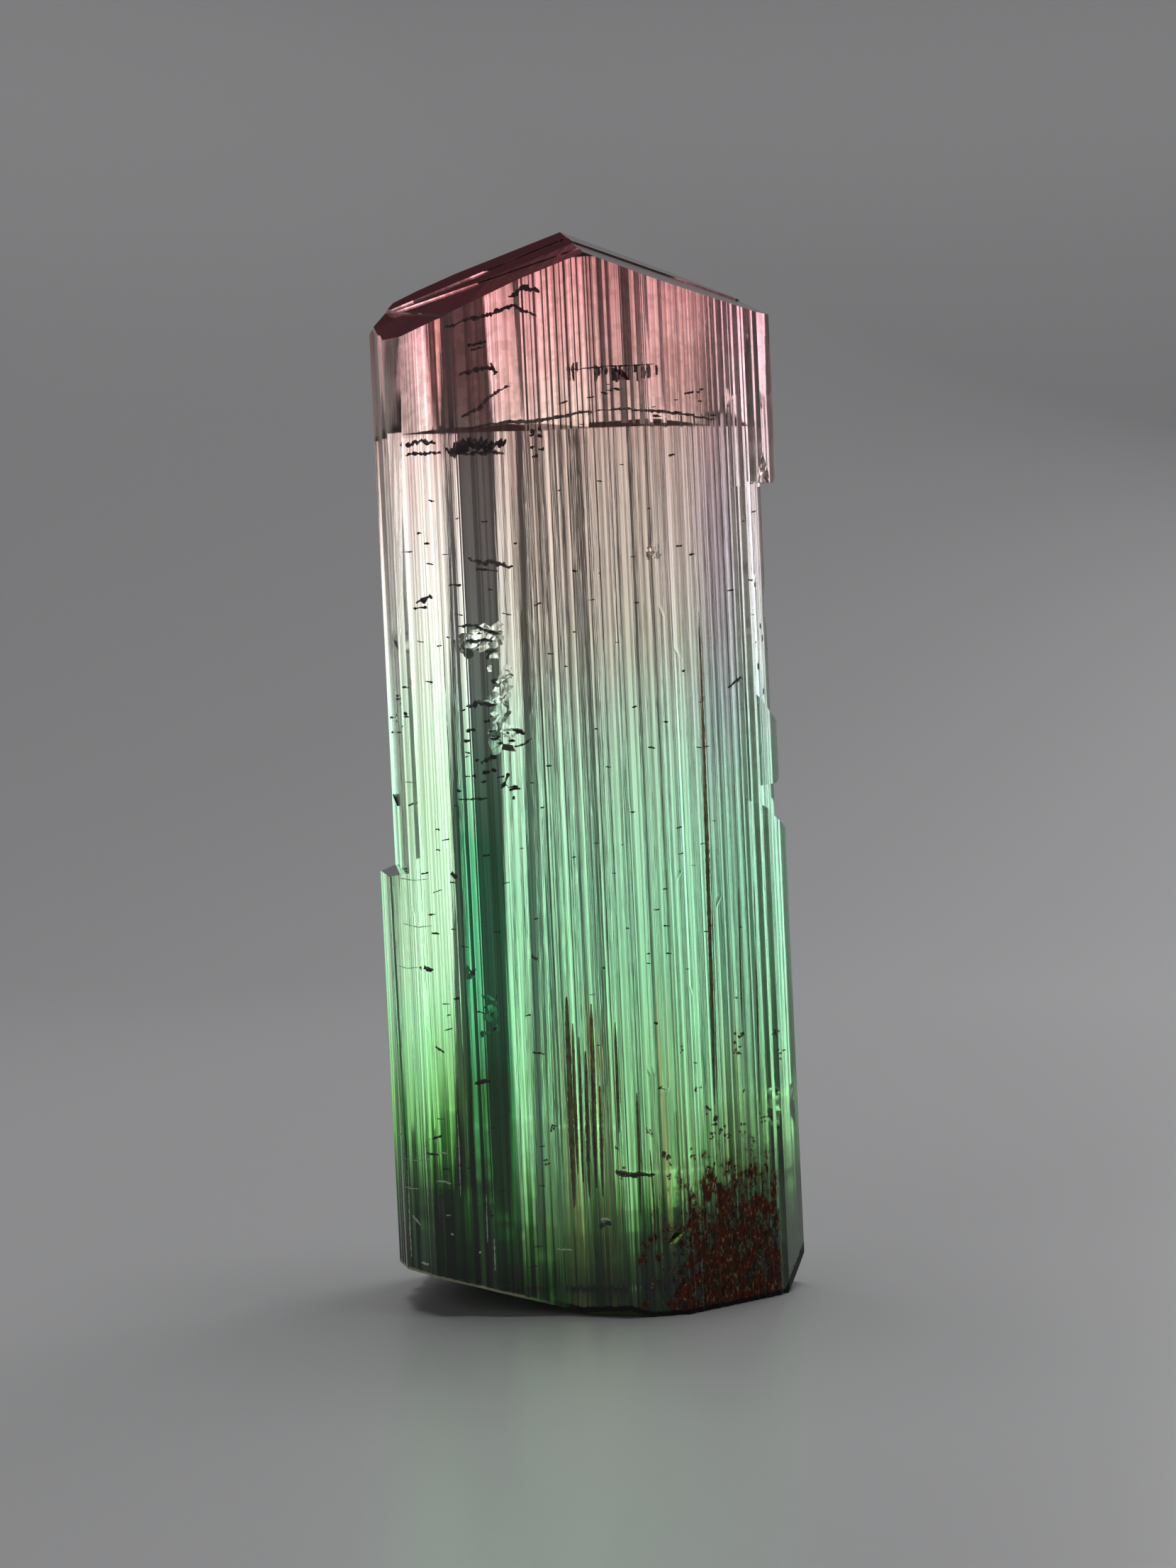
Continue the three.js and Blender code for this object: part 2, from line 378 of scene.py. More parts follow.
def growth_layer(layer, seed):
    """The prism with some sides moved out, and its free ends broken off on a slant."""
    distances = {s["azimuth"]: s["distance"] + layer["on"].get(s["azimuth"], -LAYER_INSET) for s in SIDES}
    heights = [layer["bottom"], layer["top"] + OVERLENGTH]
    slab = object_of(prism(distances, seed, heights), "layer")
    towards = layer["towards"]
    cuts = [(past_face(towards, layer["slant"], LAYER_REACH, layer["top"]), "DIFFERENCE")]
    if layer["bottom"] > 0:
        bottom = spot_at(towards, LAYER_REACH, layer["bottom"])
        cuts.append((beyond(bottom, undercut_normal(towards, layer["slant"])), "DIFFERENCE"))
    return shaped(slab, cuts)


def chip(hollow, seed):
    """A shell-shaped hollow with the ripples of a fresh break, where a flake has come off."""
    made = bmesh.new()
    bmesh.ops.create_icosphere(made, subdivisions=4, radius=1)
    for vert in made.verts:
        ripple = noise.noise(vert.co * CHIP_RIPPLE_GRAIN + Vector((seed, 0, 0)))
        vert.co *= 1 + CHIP_RIPPLE * ripple
    height, azimuth, distance, wide, tall, deep = hollow
    size = Matrix.Diagonal((deep, wide, tall, 1))
    turn = Matrix.Rotation(math.radians(azimuth), 4, "Z")
    move = Matrix.Translation(spot_at(azimuth, distance, height))
    bmesh.ops.transform(made, matrix=move @ turn @ size, verts=made.verts)
    return object_of(made, "chip")


def terrace(step):
    """A large box that takes a thin slice off one face of the pointed end, from an edge outwards."""
    azimuth, slope, towards, from_apex, depth = step
    tilt = tilt_to(sloping_normal(azimuth, slope))
    turn = Matrix.Rotation(math.radians(towards), 4, "Z")
    shift = Matrix.Translation((from_apex + CUT_BOX / 2, 0, CUT_BOX / 2 - depth))
    return cut_box(Matrix.Translation(APEX) @ tilt @ turn @ shift)


def point_cuts():
    """What lies beyond the faces, worn corners, steep back and growth steps of the pointed end."""
    cuts = [beyond(APEX, sloping_normal(azimuth, slope)) for azimuth, slope in POINT_FACES]
    for azimuth, slope, height, distance in WORN_CORNERS:
        cuts.append(past_face(azimuth, slope, distance, height))
    for planes in BACK_CUTS:
        above_ledge = beyond((0, 0, LEDGE_HEIGHT), Vector((0, 0, 1)))
        limits = [(past_face(*plane, LEDGE_HEIGHT), "INTERSECT") for plane in planes]
        cuts.append(shaped(above_ledge, limits))
    return cuts + [terrace(step) for step in TERRACES]


def foot_planes():
    """The flat that the crystal stands on and the breaks round it, each as a point and its normal."""
    planes = [(Vector((0, 0, 0)), Vector((0, 0, -1)))]
    for x, y, rises, slope in FOOT_CUTS:
        planes.append((Vector((x, y, 0)), undercut_normal(rises, slope)))
    return planes


def crystal():
    """The whole crystal as one closed clear body."""
    count = int((APEX_HEIGHT + 2 * OVERLENGTH) / RING_PITCH)
    heights = [-OVERLENGTH + RING_PITCH * i for i in range(count + 1)]
    distances = {side["azimuth"]: side["distance"] for side in SIDES}
    body = object_of(prism(distances, PRISM_SEED, heights), "crystal_clear")
    tools = [(growth_layer(layer, LAYER_SEED + i), "UNION") for i, layer in enumerate(LAYERS)]
    tools += [(cut, "DIFFERENCE") for cut in point_cuts()]
    tools += [(chip(hollow, CHIP_SEED + i), "DIFFERENCE") for i, hollow in enumerate(CHIPS)]
    shaped(body, tools)
    body.data.transform(LEANED)
    shaped(body, [(beyond(point, outward), "DIFFERENCE") for point, outward in foot_planes()])
    body.data.transform(Matrix.Scale(MM, 4))
    body.data.materials.clear()
    return body


def new_material(name):
    """A material with its node tree and its shader."""
    material = bpy.data.materials.new(name)
    material.use_nodes = True
    tree = material.node_tree
    return material, tree, tree.nodes["Principled BSDF"]


def node(tree, kind, **settings):
    """A node with its settings. Inputs are given by name in a dict called inputs."""
    made = tree.nodes.new(kind)
    inputs = settings.pop("inputs", {})
    for name, value in settings.items():
        setattr(made, name, value)
    for name, value in inputs.items():
        feed(tree, made.inputs[name], value)
    return made


def feed(tree, socket, value):
    """Sets an input to a number or a vector, or links it to an output."""
    if isinstance(value, bpy.types.NodeSocket):
        tree.links.new(value, socket)
    else:
        socket.default_value = value


def ramp(tree, source, stops):
    """A colour ramp: each stop is a place from 0 to 1 and a colour."""
    made = node(tree, "ShaderNodeValToRGB", inputs={"Fac": source})
    elements = made.color_ramp.elements
    while len(elements) < len(stops):
        elements.new(0.5)
    for element, (place, colour) in zip(elements, stops):
        element.position = place
        element.color = (*colour, 1)
    return made.outputs["Color"]


def reckon(tree, operation, *values):
    """One step of arithmetic on numbers and outputs."""
    made = node(tree, "ShaderNodeMath", operation=operation)
    for socket, value in zip(made.inputs, values):
        feed(tree, socket, value)
    return made.outputs[0]


def chained(tree, operation, values):
    """The same step of arithmetic from value to value."""
    made = values[0]
    for value in values[1:]:
        made = reckon(tree, operation, made, value)
    return made


def times(tree, *factors):
    """The product of numbers and outputs."""
    return chained(tree, "MULTIPLY", factors)


def highest(tree, *values):
    """The highest of some numbers and outputs."""
    return chained(tree, "MAXIMUM", values)


def mask(tree, value, low, high):
    """0 below one value, 1 above another, and a soft change between them. Low may be the higher."""
    limits = {"Value": value, "From Min": low, "From Max": high}
    return node(tree, "ShaderNodeMapRange", interpolation_type="SMOOTHSTEP", inputs=limits).outputs["Result"]


def zone(tree, value, limits):
    """1 inside a zone and 0 outside: where it starts and is full, then where it is last full and ends."""
    made = mask(tree, value, limits[0], limits[1])
    if len(limits) == 4:
        made = times(tree, made, mask(tree, value, limits[3], limits[2]))
    return made


def grain(tree, place, stretch, detail=2.0, roughness=0.5, shift=0.0):
    """Noise from 0 to 1 whose grain is so many per millimetre along each of the crystal's axes."""
    placing = {"Vector": place, "Scale": stretch, "Location": (shift, shift, shift)}
    scaled = node(tree, "ShaderNodeMapping", inputs=placing).outputs[0]
    look = {"Vector": scaled, "Scale": 1.0, "Detail": detail, "Roughness": roughness}
    return node(tree, "ShaderNodeTexNoise", inputs=look).outputs["Fac"]


def painted(tree, colour, paint, *shares, kind="MIX"):
    """A colour with another over it, by the product of some shares."""
    made = node(tree, "ShaderNodeMix", data_type="RGBA", blend_type=kind)
    feed(tree, made.inputs["Factor"], times(tree, *shares))
    feed(tree, made.inputs["A"], colour)
    feed(tree, made.inputs["B"], paint)
    return made.outputs["Result"]


def tinted(tree, colour, tint, *shares):
    """A colour multiplied by a tint, by the product of some shares."""
    return painted(tree, colour, tint, *shares, kind="MULTIPLY")


def parts(tree, vector):
    """The three parts of a vector."""
    return node(tree, "ShaderNodeSeparateXYZ", inputs={"Vector": vector}).outputs


def own_axes(tree):
    """Places along the crystal's own axes, in millimetres from its foot."""
    turned = node(tree, "ShaderNodeMapping", vector_type="TEXTURE")
    feed(tree, turned.inputs["Vector"], node(tree, "ShaderNodeTexCoord").outputs["Object"])
    feed(tree, turned.inputs["Location"], (AXIS_FOOT[0] * MM, AXIS_FOOT[1] * MM, 0))
    feed(tree, turned.inputs["Rotation"], LEANED.to_euler("XYZ"))
    feed(tree, turned.inputs["Scale"], (MM, MM, MM))
    return turned.outputs[0]


# Colour of the clear crystal by height in millimetres. The fall to near black at the foot is painted shade.
HEIGHT_COLOURS = [
    # The lowest stops are painted shade, darkening the green towards the foot.
    (0, (0.004, 0.035, 0.003)),
    (2.5, (0.09, 0.34, 0.06)),
    (5, (0.25, 0.66, 0.19)),
    (8, (0.27, 0.68, 0.26)),
    (10.5, (0.31, 0.78, 0.35)),
    (13, (0.36, 0.89, 0.46)),
    (20, (0.44, 0.98, 0.60)),
    (25, (0.54, 0.98, 0.66)),
    (28.7, (0.68, 0.98, 0.77)),
    (32, (0.88, 0.97, 0.84)),
    (35.6, (0.97, 0.92, 0.85)),
    (39, (0.98, 0.85, 0.79)),
    (42, (0.98, 0.74, 0.70)),
    (44, (0.97, 0.62, 0.61)),
    (47, (0.94, 0.49, 0.51)),
    (52, (0.66, 0.22, 0.25)),
]
CRYSTAL_IOR = 1.63
CRYSTAL_SPECULAR = 0.15
ABSORBED = (0.5, 0.5, 0.48, 1)
ABSORB_DENSITY = 55.0
RIDGE_HEIGHT = 0.02

# Colours that are laid over those by height, among them painted shade, a painted highlight and a painted
# reflection.
# Deeper pink with painted shade, laid on the upward faces of the point.
POINT_PINK_AND_SHADE = (0.34, 0.045, 0.06, 1)
# Painted shade, near black, on the downward faces of the foot.
FOOT_SHADE = (0.03, 0.035, 0.012, 1)
# Painted shade in the near window and zones, and along the striae near the foot.
EMERALD_SHADE = (0.025, 0.30, 0.11, 1)
DEEP_GREEN_SHADE = (0.08, 0.12, 0.04, 1)
FOOT_STRIA_SHADE = (0.02, 0.10, 0.02, 1)
WINE_SHADE = (0.56, 0.30, 0.28, 1)
DUSKY_SHADE = (0.66, 0.55, 0.56, 1)
# A painted bluish reflection on the near right side.
MAUVE_REFLECTION = (0.78, 0.74, 1.0, 1)
PALE_PINK = (0.90, 0.62, 0.60, 1)
# A painted highlight on the near left edge.
PALE_GREEN_HIGHLIGHT = (0.70, 0.86, 0.58, 1)
# Painted shade along the striae.
STRIA_SHADE = (0.50, 0.46, 0.44, 1)
FINE_STRIA_SHADE = (0.22, 0.18, 0.17, 1)
# Painted grey shade on the near side.
GREY_SHADE = (0.60, 0.50, 0.44, 1)
RUST = (0.13, 0.014, 0.002, 1)
RUST_BROWN = (0.04, 0.026, 0.006, 1)
RUST_DARK = (0.022, 0.011, 0.004, 1)
RUST_TAN = (0.28, 0.23, 0.11, 1)
RUST_STREAK = (0.36, 0.22, 0.07, 1)
RUST_VEIL = (0.18, 0.12, 0.05, 1)
RIM_PALE = (0.42, 0.41, 0.28, 1)
# Painted shadow along the foot's edge at the front right.
RIM_SHADOW = (0.003, 0.003, 0.002, 1)

# Colours of the inner cracks, of rust in the grooves, of scratches and of flakes.
CRACK_GREEN = (0.006, 0.010, 0.008, 1)
CRACK_WINE = (0.075, 0.008, 0.014, 1)
CRACK_BROWN = (0.05, 0.03, 0.02, 1)
GROOVE_TAN = (0.34, 0.20, 0.06, 1)
GROOVE_BROWN = (0.14, 0.045, 0.012, 1)
SCRATCH_GREEN = (0.30, 0.42, 0.26, 1)
SCRATCH_PALE = (0.75, 0.85, 0.70, 1)
FLAKE_GREEN = (0.85, 0.95, 0.90, 1)
FLAKE_WHITE = (1.0, 1.0, 1.0, 1)

# Zones in millimetres along the crystal's own axes: where each starts and where it is full, then, if it
# ends, where it is last full and where it ends. A zone may run downwards or to the left.
FRONT_SIDE = (-1.0, -3.0)
NOT_FAR_BACK = (3.0, 1.0)
RUST_ACROSS = (8.6, 8.3)
STREAKS_ACROSS = (-1.9, -1.5, 0.1, 0.5)
STREAKS_LEVEL = (16.0, 13.0)
POINT_HIGH = (38.0, 42.0)
FROSTED_ACROSS = (-7.8, -8.1)
FROSTED_HIGH = (42.2, 42.6)
RIM_PALE_ACROSS = (-2.5, -4.5)
RIM_SHADOW_ACROSS = (-3.5, -1.5)
RIM_PALE_WIDE = (-0.15, -0.08)
RIM_SHADOW_WIDE = (-0.26, -0.18)
CRACK_PINK_HIGH = (36.0, 42.0)

# How much a surface faces up, from -1 to 1, on the point, on steep faces and on the foot.
POINT_FACING = (0.5, 0.7)
STEEP_FACING = (0.5, 0.3)
FOOT_FACING = (-0.65, -0.8)

# Middle of the rust stain and how far it reaches, across and in height.
RUST_MIDDLE = (6.2, 1.8)
RUST_REACH = (5.2, 6.4)

# How far noise moves the colours by height, in millimetres, and how far they differ from stria to stria
# and where. Level shifts are zones with the colour of another height: across, in height, and how far.
LEVEL_WANDER = 7.0
STRIA_SHIFT = 11.0
STRIA_SHIFT_HIGH = (18.0, 7.0)
LEVEL_SHIFTS = [
    ((-5.4, -6.8), (20.0, 8.0), -5.5),
    ((-6.4, -5.2, 0.8, 1.8), (2.0, 4.5, 8.0, 12.0), 2.2),
    ((1.0, 2.4, 8.2, 8.5), (6.4, 4.8), -2.6),
    ((8.2, 8.5), (14.0, 7.0), 5.0),
]

# Zones of painted shade, a painted highlight and a painted reflection on the near side, in the order that
# they are laid on. Along is a zone of the height, or of the level that the colours by height follow. Cover
# is how much one covers; the others tint what is below them.
WINDOW_ACROSS = (-6.3, -6.1, -4.2, -3.9)
NEAR_ZONES = [
    {"colour": EMERALD_SHADE, "across": WINDOW_ACROSS, "of": "level", "along": (0, 5, 22, 31), "cover": 1.0},
    {"colour": DEEP_GREEN_SHADE, "across": WINDOW_ACROSS, "of": "high", "along": (17.5, 11)},
    {"colour": WINE_SHADE, "across": (-6.6, -6.4, -3.8, -3.55), "of": "level", "along": (39, 44)},
    {"colour": PALE_GREEN_HIGHLIGHT, "across": (-6.0, -6.6), "of": "level", "along": (9, 18, 26, 34), "cover": 0.9},
    {"colour": MAUVE_REFLECTION, "across": (5.2, 6.6), "of": "level", "along": (24, 30, 39, 43)},
    {"colour": GREY_SHADE, "across": (-4.1, -2.6), "of": "high", "along": (24, 33)},
    {"colour": DUSKY_SHADE, "across": (3.0, 4.8), "of": "high", "along": (42.2, 42.9, 45, 46.5)},
]


def colour_level(tree, at):
    """The height whose colour a place has: its own, shifted by noise, by zone and from stria to stria."""
    wander = grain(tree, at.place, (0.35, 0.35, 0.12), detail=3.0)
    level = reckon(tree, "ADD", at.high, times(tree, reckon(tree, "SUBTRACT", wander, 0.5), LEVEL_WANDER))
    for across, high, shift in LEVEL_SHIFTS:
        share = times(tree, zone(tree, at.across, across), zone(tree, at.high, high))
        level = reckon(tree, "MULTIPLY_ADD", share, shift, level)
    coarse = grain(tree, at.place, (2.4, 2.4, 0.03), shift=21.0)
    finer = grain(tree, at.place, (7.0, 7.0, 0.03), roughness=0.6, shift=33.0)
    by_stria = reckon(tree, "SUBTRACT", reckon(tree, "ADD", coarse, finer), 1.0)
    share = times(tree, by_stria, zone(tree, at.high, STRIA_SHIFT_HIGH))
    return reckon(tree, "MULTIPLY_ADD", share, STRIA_SHIFT, level)


def places(tree):
    """What the looks are placed by: the crystal's axes, the front, the upward facing, and grains."""
    at = SimpleNamespace(place=own_axes(tree))
    at.across, at.deep, at.high = parts(tree, at.place)
    at.facing = parts(tree, node(tree, "ShaderNodeNewGeometry").outputs["True Normal"])["Z"]
    at.front = zone(tree, at.deep, FRONT_SIDE)
    at.level = colour_level(tree, at)
    at.fine = grain(tree, at.place, (4.5, 4.5, 3.5), detail=4.0, roughness=0.7)
    at.upright = grain(tree, at.place, (4.5, 4.5, 0.16), detail=3.0, roughness=0.6, shift=7.0)
    return at


def near_zones(tree, at, colour):
    """Painted shade, highlight and reflection in the windows and zones on the near side."""
    for area in NEAR_ZONES:
        along = zone(tree, getattr(at, area["of"]), area["along"])
        share = times(tree, zone(tree, at.across, area["across"]), at.front, along)
        if "cover" in area:
            colour = painted(tree, colour, area["colour"], share, area["cover"])
        else:
            colour = tinted(tree, colour, area["colour"], share)
    return colour


def stria_shade_lines(tree, at, colour):
    """Painted shade as dark lines along the striae: deep green near the foot, then broad ones, and fine ones
    in front.
    """
    near_foot = mask(tree, grain(tree, at.place, (4.2, 4.2, 0.02), shift=41.0), 0.50, 0.54)
    colour = tinted(tree, colour, FOOT_STRIA_SHADE, near_foot, mask(tree, at.level, 12.0, 5.0), at.front)
    broad = mask(tree, grain(tree, at.place, (3.0, 3.0, 0.008), roughness=0.6, shift=11.0), 0.505, 0.52)
    narrow = mask(tree, grain(tree, at.place, (9.0, 9.0, 0.012), detail=1.0, shift=5.0), 0.53, 0.55)
    colour = tinted(tree, colour, STRIA_SHADE, broad, 0.7)
    return tinted(tree, colour, FINE_STRIA_SHADE, narrow, at.front, 0.7)


def rust_stain(tree, at, colour):
    """Rust heaped at the lower right with a thin veil round it, and streaks. Gives the colour and the
    share that the stain covers."""
    clump = grain(tree, at.place, (1.3, 1.3, 1.1), detail=3.0, roughness=0.6)
    mixed = reckon(tree, "MULTIPLY_ADD", clump, 0.44, times(tree, at.fine, 0.38))
    mixed = reckon(tree, "MULTIPLY_ADD", at.upright, 0.18, mixed)
    squares = []
    for value, middle, reach in zip((at.across, at.high), RUST_MIDDLE, RUST_REACH):
        share = reckon(tree, "DIVIDE", reckon(tree, "SUBTRACT", value, middle), reach)
        squares.append(reckon(tree, "POWER", share, 2.0))
    apart = reckon(tree, "MINIMUM", reckon(tree, "ADD", *squares), 1.0)
    near = reckon(tree, "SUBTRACT", 1.0, apart)
    where = times(tree, zone(tree, at.deep, NOT_FAR_BACK), zone(tree, at.across, RUST_ACROSS))
    where = times(tree, where, mask(tree, near, 0.02, 0.12))
    heaped = reckon(tree, "MULTIPLY_ADD", near, 0.20, mixed)
    veil = times(tree, mask(tree, heaped, 0.50, 0.60), where)
    stain = times(tree, mask(tree, heaped, 0.60, 0.64), where)
    streak = mask(tree, grain(tree, at.place, (5.5, 5.5, 0.05), detail=1.0, shift=3.0), 0.46, 0.56)
    in_streaks = times(tree, zone(tree, at.across, STREAKS_ACROSS), zone(tree, at.level, STREAKS_LEVEL))
    colour = painted(tree, colour, RUST_STREAK, in_streaks, streak)
    colour = tinted(tree, colour, RUST_VEIL, veil, 0.8)
    speckle = grain(tree, at.place, (5.0, 5.0, 3.6), detail=3.0, roughness=0.65, shift=17.0)
    rust = painted(tree, RUST_BROWN, RUST, mask(tree, clump, 0.44, 0.54))
    rust = painted(tree, rust, RUST_DARK, mask(tree, speckle, 0.49, 0.42))
    rust = painted(tree, rust, RUST_TAN, mask(tree, speckle, 0.585, 0.64))
    return painted(tree, colour, rust, stain), stain


def foot_edge(tree, at):
    """How far a place is past the broken foot, in millimetres: about 0 on it and less above it."""
    place = node(tree, "ShaderNodeTexCoord").outputs["Object"]
    past = []
    for point, outward in foot_planes():
        product = node(tree, "ShaderNodeVectorMath", operation="DOT_PRODUCT")
        feed(tree, product.inputs[0], place)
        feed(tree, product.inputs[1], outward / MM)
        past.append(reckon(tree, "SUBTRACT", product.outputs["Value"], outward.dot(point)))
    wobble = reckon(tree, "MULTIPLY_ADD", at.fine, 0.2, -0.1)
    return reckon(tree, "ADD", highest(tree, *past), wobble)


def crystal_haze(tree, at, rim, stain):
    """The roughness: nearly clear, with worn patches, and dull on the rim and the rust."""
    worn = mask(tree, grain(tree, at.place, (0.9, 0.9, 0.25), detail=4.0), 0.35, 0.7)
    haze = reckon(tree, "MULTIPLY_ADD", worn, 0.06, 0.015)
    haze = reckon(tree, "MULTIPLY_ADD", times(tree, mask(tree, at.level, 13.0, 7.0), worn), 0.05, haze)
    return highest(tree, haze, times(tree, rim, 0.6), times(tree, stain, 0.75))


def tourmaline():
    """Clear crystal: pink over green, with rust stain and streaks, and painted shade in an emerald band, on
    the point, along the striae and on the foot.
    """
    material, tree, shader = new_material("tourmaline_clear")
    feed(tree, shader.inputs["IOR"], CRYSTAL_IOR)
    feed(tree, shader.inputs["Specular IOR Level"], CRYSTAL_SPECULAR)
    at = places(tree)
    stops = [(height / APEX_HEIGHT, colour) for height, colour in HEIGHT_COLOURS]
    colour = ramp(tree, reckon(tree, "DIVIDE", at.level, APEX_HEIGHT), stops)
    colour = near_zones(tree, at, colour)
    colour = stria_shade_lines(tree, at, colour)
    # The upward faces of the point get deeper pink with painted shade in it.
    on_point = times(tree, mask(tree, at.facing, *POINT_FACING), zone(tree, at.high, POINT_HIGH))
    colour = painted(tree, colour, POINT_PINK_AND_SHADE, on_point)
    colour, stain = rust_stain(tree, at, colour)

    frosted = times(tree, zone(tree, at.across, FROSTED_ACROSS), zone(tree, at.high, FROSTED_HIGH))
    frosted = times(tree, frosted, mask(tree, at.facing, *STEEP_FACING))
    frosted = times(tree, frosted, reckon(tree, "MULTIPLY_ADD", at.upright, 0.8, 0.1))
    colour = painted(tree, colour, PALE_PINK, frosted)
    edge = foot_edge(tree, at)
    # A dark line along the foot's edge at the front right is painted shadow under the crystal.
    rim_shadow = times(tree, zone(tree, edge, RIM_SHADOW_WIDE), zone(tree, at.across, RIM_SHADOW_ACROSS))
    rim_pale = times(tree, zone(tree, edge, RIM_PALE_WIDE), zone(tree, at.across, RIM_PALE_ACROSS))
    # The downward faces of the foot are painted near black, as shade.
    on_foot = mask(tree, at.facing, *FOOT_FACING)
    colour = painted(tree, colour, RIM_SHADOW, rim_shadow)
    colour = painted(tree, colour, RIM_PALE, rim_pale)
    feed(tree, shader.inputs["Base Color"], painted(tree, colour, FOOT_SHADE, on_foot))

    rim = highest(tree, rim_pale, rim_shadow)
    solid = highest(tree, times(tree, on_foot, 0.85), times(tree, stain, 0.9))
    solid = highest(tree, solid, times(tree, on_point, 0.35), times(tree, rim, 0.8), frosted)
    feed(tree, shader.inputs["Transmission Weight"], reckon(tree, "SUBTRACT", 1.0, solid))
    feed(tree, shader.inputs["Roughness"], crystal_haze(tree, at, rim, stain))
    striae = grain(tree, at.place, (5.0, 5.0, 0.04), detail=4.0, roughness=0.7)
    ridges = {"Strength": 0.2, "Distance": RIDGE_HEIGHT * MM, "Height": striae}
    feed(tree, shader.inputs["Normal"], node(tree, "ShaderNodeBump", inputs=ridges).outputs["Normal"])
    absorb = node(tree, "ShaderNodeVolumeAbsorption", inputs={"Color": ABSORBED, "Density": ABSORB_DENSITY})
    feed(tree, tree.nodes["Material Output"].inputs["Volume"], absorb.outputs[0])
    return material


def finish(tree, shader, colour, grains, rough):
    """Gives a shader its colour, and its roughness by grains: how much they add, and the least."""
    feed(tree, shader.inputs["Base Color"], colour)
    feed(tree, shader.inputs["Roughness"], reckon(tree, "MULTIPLY_ADD", grains, *rough))


def crack_dark():
    """The dark inner surface of a crack: wine in the pink end and near black in the green."""
    material, tree, shader = new_material("crack_dark")
    place = own_axes(tree)
    pink = zone(tree, parts(tree, place)["Z"], CRACK_PINK_HIGH)
    spots = grain(tree, place, (3.0, 3.0, 3.0), detail=3.0)
    colour = painted(tree, CRACK_GREEN, CRACK_WINE, pink)
    colour = painted(tree, colour, CRACK_BROWN, mask(tree, spots, 0.5, 0.75))
    finish(tree, shader, colour, spots, (0.3, 0.4))
    return material


def rust_brown():
    """Rust in grooves: a brown film with darker grains, which some light passes."""
    material, tree, shader = new_material("rust_brown")
    spots = grain(tree, own_axes(tree), (6.0, 6.0, 2.0), detail=3.0)
    colour = painted(tree, GROOVE_TAN, GROOVE_BROWN, mask(tree, spots, 0.4, 0.6))
    finish(tree, shader, colour, spots, (0.3, 0.5))
    feed(tree, shader.inputs["Transmission Weight"], 0.7)
    feed(tree, shader.inputs["IOR"], 1.0)
    return material


def scratch_pale():
    """The pale powdery surface of a scratch."""
    material, tree, shader = new_material("scratch_pale")
    spots = grain(tree, own_axes(tree), (5.0, 5.0, 5.0))
    finish(tree, shader, painted(tree, SCRATCH_GREEN, SCRATCH_PALE, spots), spots, (0.2, 0.45))
    return material


def flake_bright():
    """The silvery face of a healed break."""
    material, tree, shader = new_material("flake_bright")
    spots = grain(tree, own_axes(tree), (4.0, 4.0, 4.0))
    finish(tree, shader, painted(tree, FLAKE_GREEN, FLAKE_WHITE, spots), spots, (0.2, 0.12))
    feed(tree, shader.inputs["Metallic"], 1.0)
    return material


# Cracks inside the crystal that are seen edge on from the front: points along each in the photograph's
# pixels, how thick it looks there, and how far it reaches in, in millimetres.
CRACKS = [
    ([(569, 628), (592, 622), (616, 624)], 9, 1.6),
    ([(569, 643), (598, 638), (625, 640)], 6, 1.2),
    ([(628, 640), (668, 622), (716, 631)], 20, 2.2),
    ([(640, 640), (690, 636), (712, 640)], 7, 1.4),
    ([(649, 589), (675, 576), (697, 554), (721, 543)], 6, 1.2),
    ([(645, 528), (670, 521), (698, 519)], 8, 1.5),
    ([(690, 510), (696, 522), (701, 528)], 8, 0.8),
    ([(656, 486), (688, 482)], 6, 1.2),
    ([(660, 495), (686, 490)], 4, 0.9),
    ([(625, 464), (658, 451), (690, 444), (722, 430), (760, 447)], 7, 1.0),
    ([(714, 420), (740, 405), (764, 409)], 9, 0.9),
    ([(648, 607), (705, 594), (766, 590), (812, 582), (836, 580)], 5, 2.4),
    ([(836, 580), (883, 576), (927, 580), (970, 585), (1010, 592)], 5, 2.0),
    ([(798, 522), (850, 517), (925, 514)], 3, 0.8),
    ([(660, 790), (690, 794), (726, 799)], 9, 1.6),
    ([(668, 803), (704, 806)], 4, 0.9),
    ([(584, 853), (598, 846), (611, 842)], 8, 1.2),
    ([(580, 858), (604, 857)], 5, 1.0),
    ([(632, 825), (654, 825)], 5, 0.9),
    ([(752, 856), (766, 851)], 4, 0.6),
    ([(644, 884), (668, 881), (706, 893)], 5, 1.0),
    ([(656, 904), (697, 903)], 5, 1.0),
    ([(657, 995), (676, 990), (699, 995)], 9, 1.6),
    ([(676, 1079), (688, 1072), (698, 1064)], 8, 1.2),
    ([(705, 1112), (712, 1103), (718, 1087)], 6, 0.8),
    ([(645, 1128), (690, 1127)], 4, 0.9),
    ([(723, 1054), (738, 1049), (752, 1040)], 4, 0.7),
    ([(595, 1363), (613, 1369)], 7, 1.0),
    ([(748, 1348), (759, 1353)], 7, 0.8),
    ([(634, 1231), (646, 1240)], 8, 0.7),
    ([(668, 1530), (694, 1524)], 6, 0.9),
    ([(612, 1476), (628, 1484)], 5, 0.8),
    ([(844, 1729), (866, 1727)], 9, 0.8),
    ([(868, 1652), (880, 1660), (926, 1657)], 6, 0.8),
    ([(1024, 971), (1036, 960), (1046, 951)], 5, 0.7),
]

